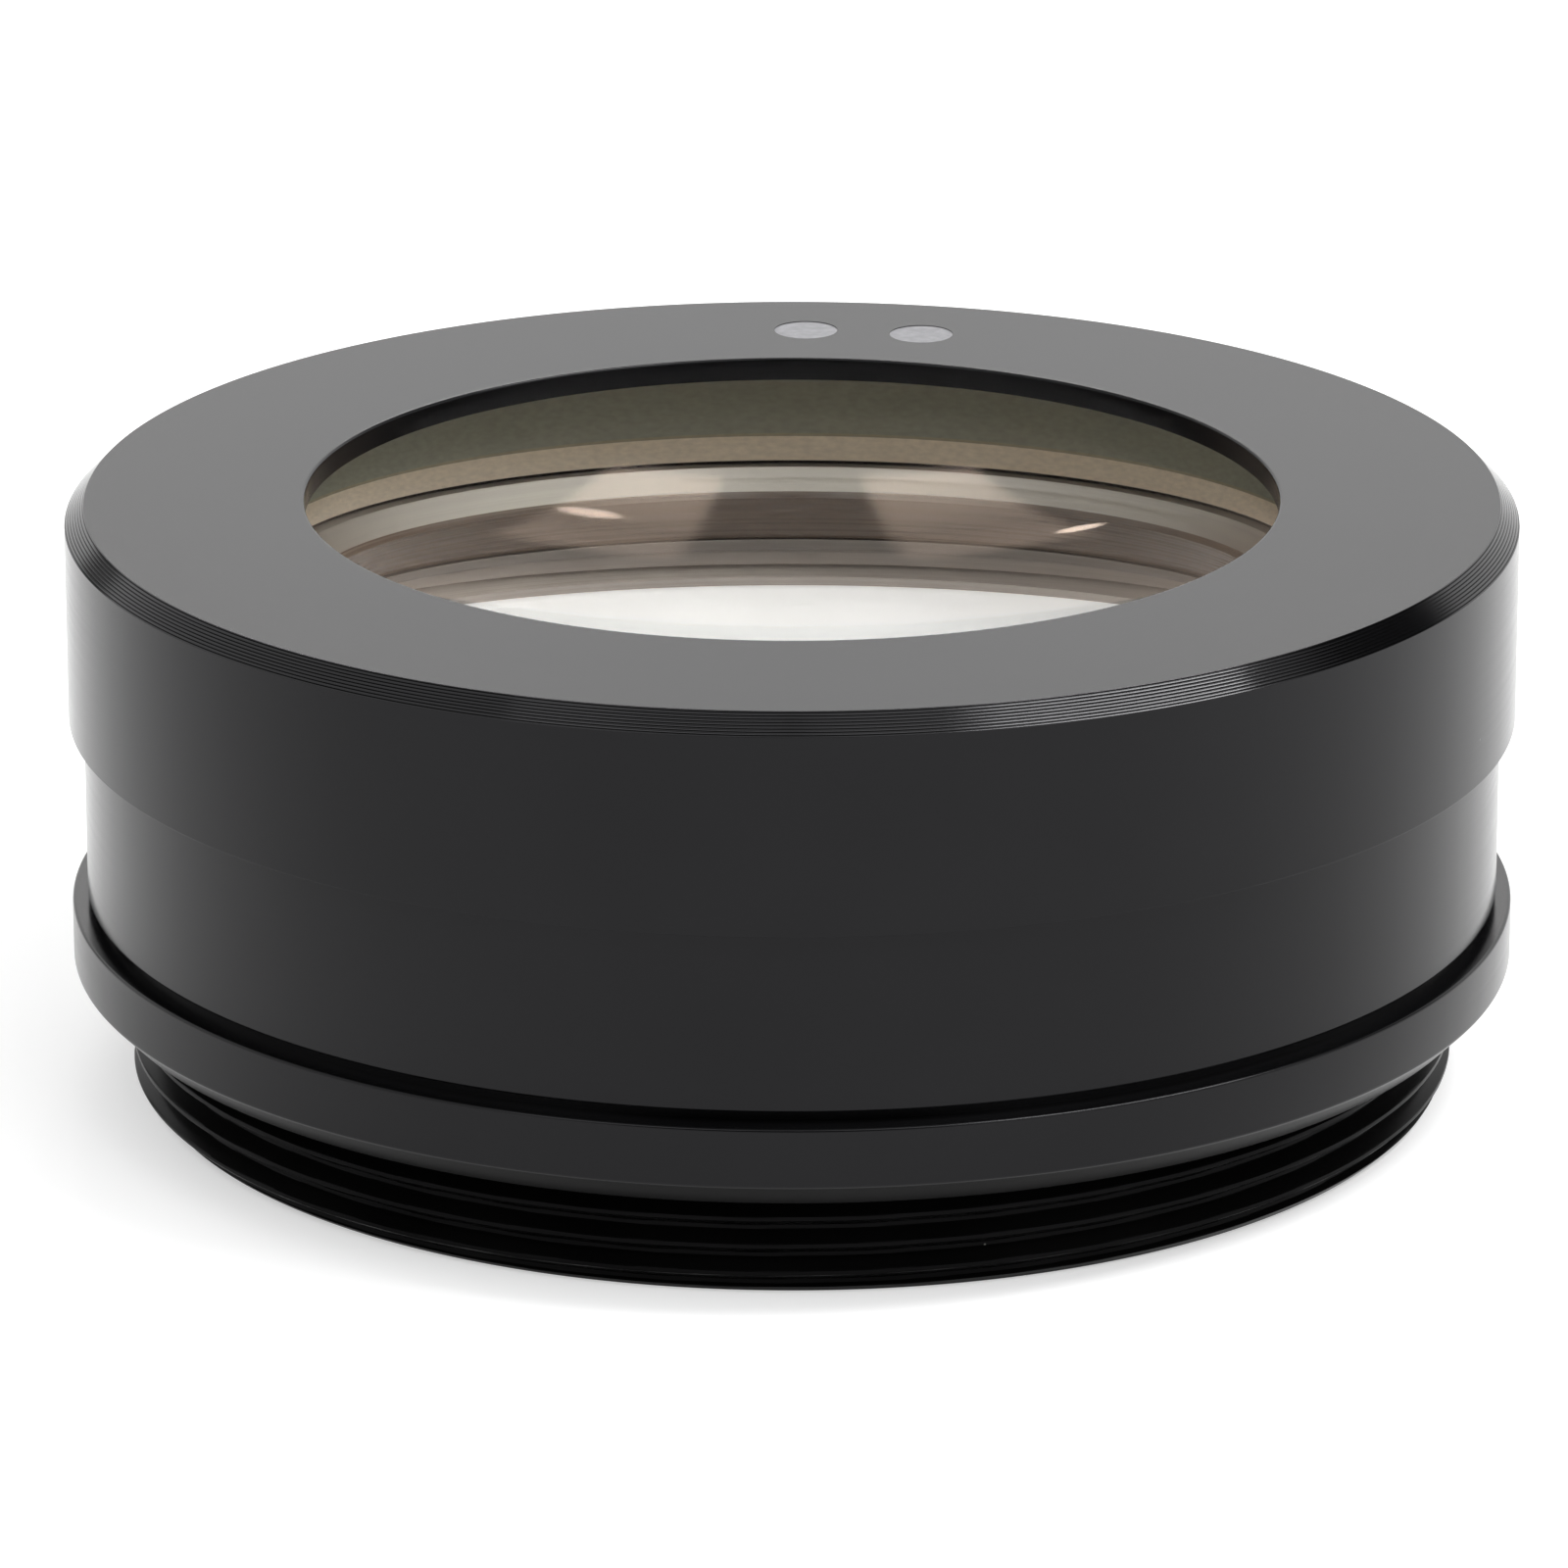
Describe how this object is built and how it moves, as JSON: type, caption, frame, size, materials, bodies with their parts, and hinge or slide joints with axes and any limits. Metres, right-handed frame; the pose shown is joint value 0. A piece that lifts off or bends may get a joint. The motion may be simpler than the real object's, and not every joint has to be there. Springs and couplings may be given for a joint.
{
  "type": "microscope auxiliary lens",
  "caption": "Low round screw-in auxiliary lens in a black anodised cell, with a male mounting thread below its flange and a wide glass aperture on top.",
  "frame": {"origin": "on the optical axis, at the thread end, which is the lowest plane of the part", "axes": "+Z is the optical axis and points from the thread end to the front face; +Y points to the side of the front face that carries the index dots"},
  "size_m": [0.0522, 0.0522, 0.0216],
  "materials": {
    "cap_anodised": "fine turned and satin black anodised",
    "mark_paint": "flat pale grey filling paint",
    "washer_plastic": "thin black plastic film",
    "front_glass": "polished flint glass with an anti-reflection coating and a ground edge",
    "crown_glass": "polished crown glass with a ground edge",
    "bare_aluminium": "fine turned bare aluminium",
    "barrel_anodised": "fine turned and satin black anodised",
    "mount_anodised": "black anodised with a cut thread",
    "rear_glass": "polished glass with an anti-reflection coating",
    "ring_anodised": "matt black anodised"
  },
  "bodies": {
    "root": {"front_cap": "cap_anodised", "index_dots": "mark_paint", "seat_washer": "washer_plastic", "front_flint_lens": "front_glass", "rear_crown_lens": "crown_glass", "spacer_ring": "bare_aluminium", "barrel": "barrel_anodised", "mount_ring": "mount_anodised", "field_lens": "rear_glass", "retaining_ring": "ring_anodised"}
  },
  "joints": []
}
